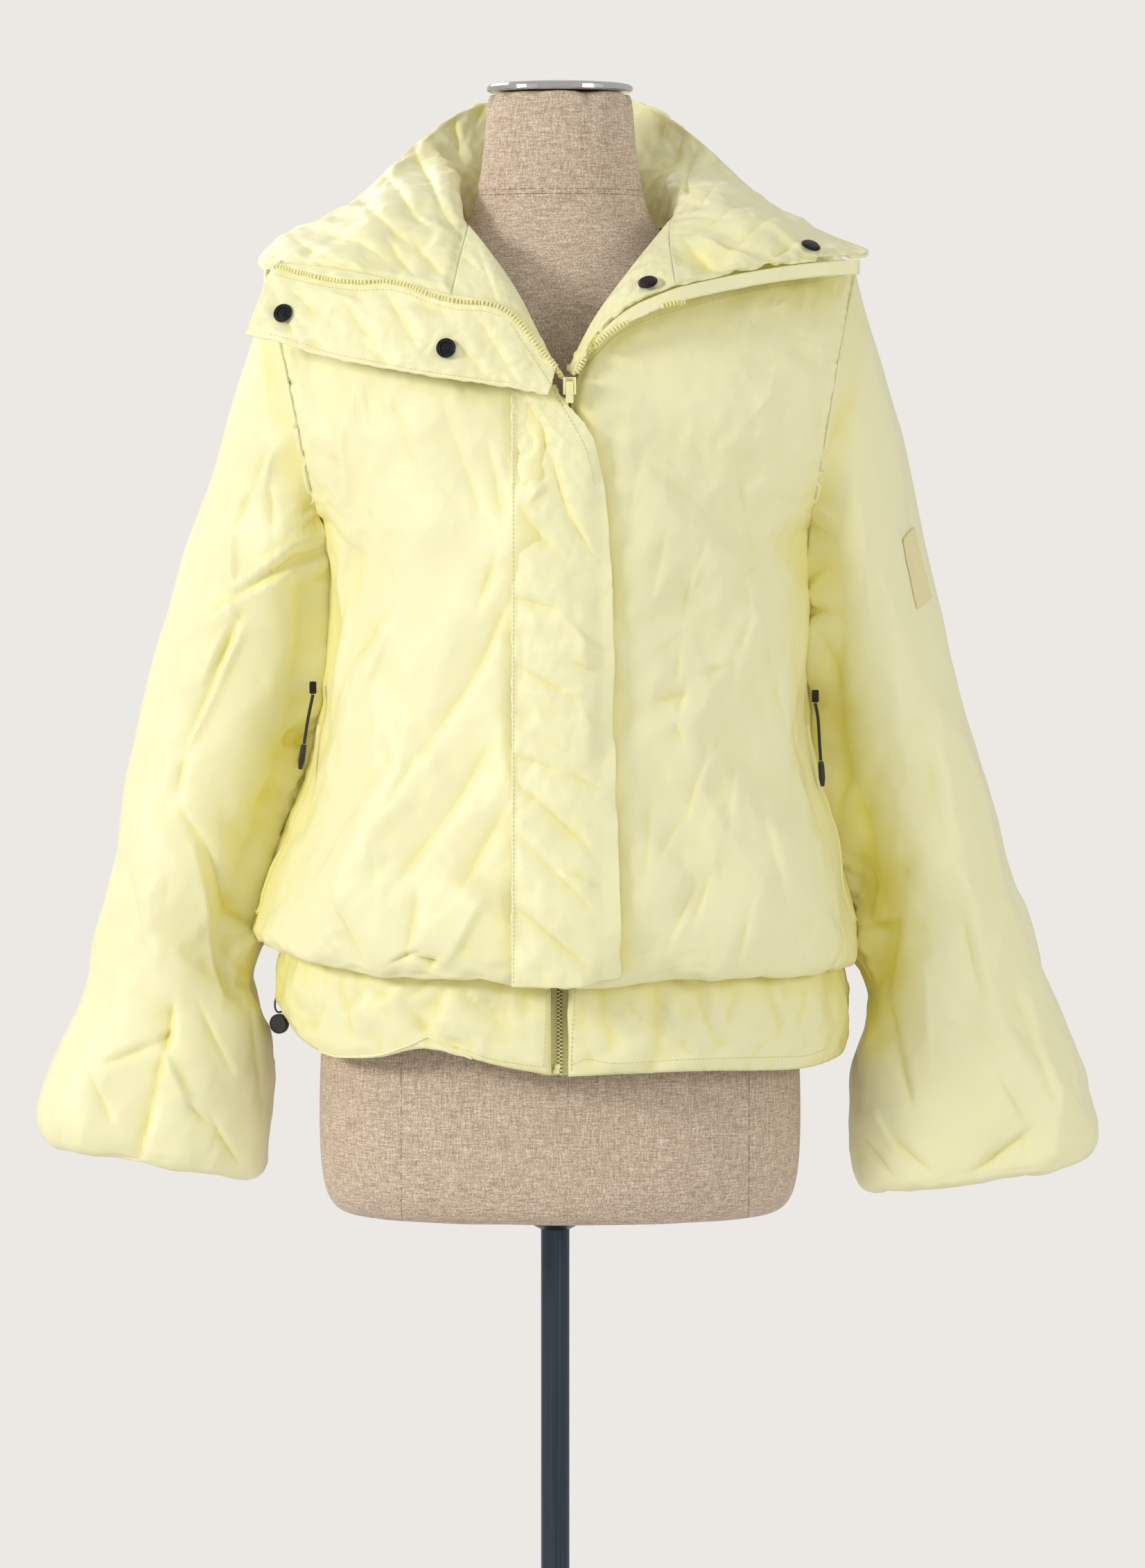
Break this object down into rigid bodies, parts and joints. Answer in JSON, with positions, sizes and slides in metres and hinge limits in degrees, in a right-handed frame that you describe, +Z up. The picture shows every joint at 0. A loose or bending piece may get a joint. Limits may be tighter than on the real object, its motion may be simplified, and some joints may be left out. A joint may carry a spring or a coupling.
{
  "type": "puffer jacket on dress form",
  "caption": "Padded blouson jacket with a turned-back storm collar, covered front zip and hem band, worn by a limbless linen dress form on a round steel stand.",
  "frame": {"origin": "centre of the stand's base, on the floor", "axes": "+Z up, the jacket's front faces -Y, so +X is the wearer's left"},
  "size_m": [0.7751, 0.3635, 1.5225],
  "materials": {
    "cloth": "smooth woven shell, slight sheen",
    "lining": "smooth woven lining, slight sheen",
    "tape": "woven zip tape",
    "zip_plastic": "coloured to match the cloth",
    "black_metal": "black, satin",
    "black_plastic": "black, moulded",
    "black_cord": "black braided cord",
    "linen": "natural linen with slubs",
    "chrome": "polished",
    "steel": "dark blue-grey, satin"
  },
  "bodies": {
    "jacket": {"front_right": "cloth", "front_left": "cloth", "back": "cloth", "sleeve_right": "cloth", "sleeve_left": "cloth", "hem_band_right": "cloth", "hem_band_left": "cloth", "hem_band_back": "cloth", "collar_flap": "cloth", "placket": "cloth", "pocket_welt_right": "cloth", "pocket_welt_left": "cloth", "edge_strip_left": "cloth", "sleeve_patch": "cloth", "collar": "lining", "lapel_right": "lining", "lapel_left": "lining", "zip_tape_right": "tape", "zip_tape_left": "tape", "zip_slider": "zip_plastic", "snap_socket_outer": "black_metal", "snap_socket_inner": "black_metal", "snap_cap_inner": "black_metal", "snap_cap_outer": "black_metal", "pocket_slider_right": "black_metal", "pocket_slider_left": "black_metal", "hem_toggle": "black_plastic", "pocket_tip_right": "black_plastic", "pocket_tip_left": "black_plastic", "pocket_cord_right": "black_cord", "pocket_cord_left": "black_cord", "hem_toggle_loop": "black_cord", "dress_form": "linen", "neck_cap": "chrome", "stand_pole": "steel", "stand_base": "steel"},
    "pull": {"zip_pull": "zip_plastic"}
  },
  "joints": [
    {"name": "pull_swing", "type": "hinge", "parent": "jacket", "child": "pull", "pos_m": [0.007, -0.1593, 1.301], "axis": [-1, 0, 0], "range_deg": [0, 150]}
  ]
}
